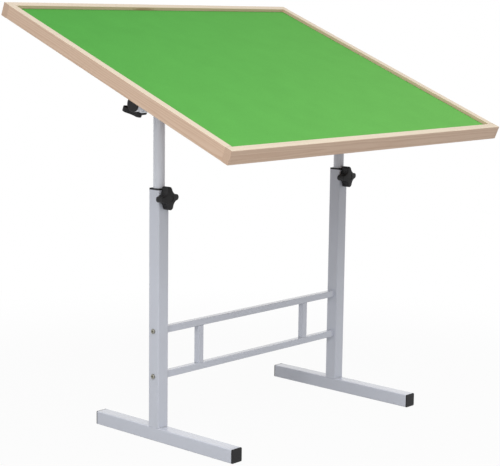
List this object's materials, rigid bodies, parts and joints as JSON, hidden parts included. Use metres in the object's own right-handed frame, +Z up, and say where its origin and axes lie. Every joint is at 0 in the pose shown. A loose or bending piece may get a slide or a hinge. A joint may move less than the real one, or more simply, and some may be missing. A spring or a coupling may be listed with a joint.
{
  "type": "tilting jigsaw table",
  "caption": "Tilting, height-adjustable jigsaw table: a shallow felt-lined pine tray on a cross tube, carried by telescopic steel T legs and locked by star knobs.",
  "frame": {"origin": "on the floor, under the centre of the whole table's box", "axes": "+X to the user's right, +Y away from the user to the raised back edge of the board, +Z up"},
  "size_m": [0.91, 0.68, 0.9325],
  "materials": {
    "powder_coated_steel": "satin",
    "black_nylon": "matte",
    "zinc_plated_steel": "satin",
    "pine": "satin",
    "hardboard": "matte",
    "green_felt": "matte"
  },
  "bodies": {
    "base": {"foot_tube_left": "powder_coated_steel", "foot_tube_right": "powder_coated_steel", "foot_cap_front_left": "black_nylon", "foot_cap_front_right": "black_nylon", "foot_cap_back_left": "black_nylon", "foot_cap_back_right": "black_nylon", "post_left": "powder_coated_steel", "post_right": "powder_coated_steel", "post_bushing_left": "black_nylon", "post_bushing_right": "black_nylon", "weld_nut_left": "zinc_plated_steel", "weld_nut_right": "zinc_plated_steel", "brace_upright_left": "powder_coated_steel", "brace_upright_right": "powder_coated_steel", "brace_lower_bar": "powder_coated_steel", "brace_upper_bar": "powder_coated_steel", "brace_plugs": "zinc_plated_steel", "brace_bolts": "zinc_plated_steel"},
    "riser": {"inner_tube_left": "powder_coated_steel", "inner_tube_right": "powder_coated_steel", "tube_guide_left": "black_nylon", "tube_guide_right": "black_nylon", "cross_tube": "powder_coated_steel", "cross_tube_cap_left": "black_nylon", "cross_tube_cap_right": "black_nylon"},
    "board": {"front_rail": "pine", "back_rail": "pine", "left_rail": "pine", "right_rail": "pine", "corner_dowels": "pine", "base_panel": "hardboard", "felt_sheet": "green_felt", "bearer_left": "pine", "bearer_right": "pine", "clamp_plate_left": "zinc_plated_steel", "clamp_plate_right": "zinc_plated_steel", "clamp_jaw_left": "zinc_plated_steel", "clamp_jaw_right": "zinc_plated_steel", "clamp_washer_left": "zinc_plated_steel", "clamp_washer_right": "zinc_plated_steel", "tee_nut_left": "zinc_plated_steel", "tee_nut_right": "zinc_plated_steel", "clamp_screws": "zinc_plated_steel"},
    "height_knob_left": {"height_knob_left": "black_nylon", "height_stud_left": "zinc_plated_steel"},
    "height_knob_right": {"height_knob_right": "black_nylon", "height_stud_right": "zinc_plated_steel"},
    "tilt_knob_left": {"tilt_knob_left": "black_nylon", "tilt_stud_left": "zinc_plated_steel"},
    "tilt_knob_right": {"tilt_knob_right": "black_nylon", "tilt_stud_right": "zinc_plated_steel"}
  },
  "joints": [
    {"name": "height", "type": "slide", "parent": "base", "child": "riser", "axis": [0, 0, 1], "range_m": [-0.12, 0.1]},
    {"name": "tilt", "type": "hinge", "parent": "riser", "child": "board", "pos_m": [0, 0.01117, 0.728], "axis": [1, 0, 0], "range_deg": [-22, 38]},
    {"name": "height_knob_turn_left", "type": "hinge", "parent": "base", "child": "height_knob_left", "pos_m": [-0.302, 0.01117, 0.5295], "axis": [0, -1, 0], "range_deg": [0, 420]},
    {"name": "height_knob_turn_right", "type": "hinge", "parent": "base", "child": "height_knob_right", "pos_m": [0.302, 0.01117, 0.5295], "axis": [0, -1, 0], "range_deg": [0, 420]},
    {"name": "tilt_knob_turn_left", "type": "hinge", "parent": "board", "child": "tilt_knob_left", "pos_m": [-0.338, 0.0362, 0.73811], "axis": [0, 0.3746, -0.9272], "range_deg": [0, 420]},
    {"name": "tilt_knob_turn_right", "type": "hinge", "parent": "board", "child": "tilt_knob_right", "pos_m": [0.338, 0.0362, 0.73811], "axis": [0, 0.3746, -0.9272], "range_deg": [0, 420]}
  ]
}
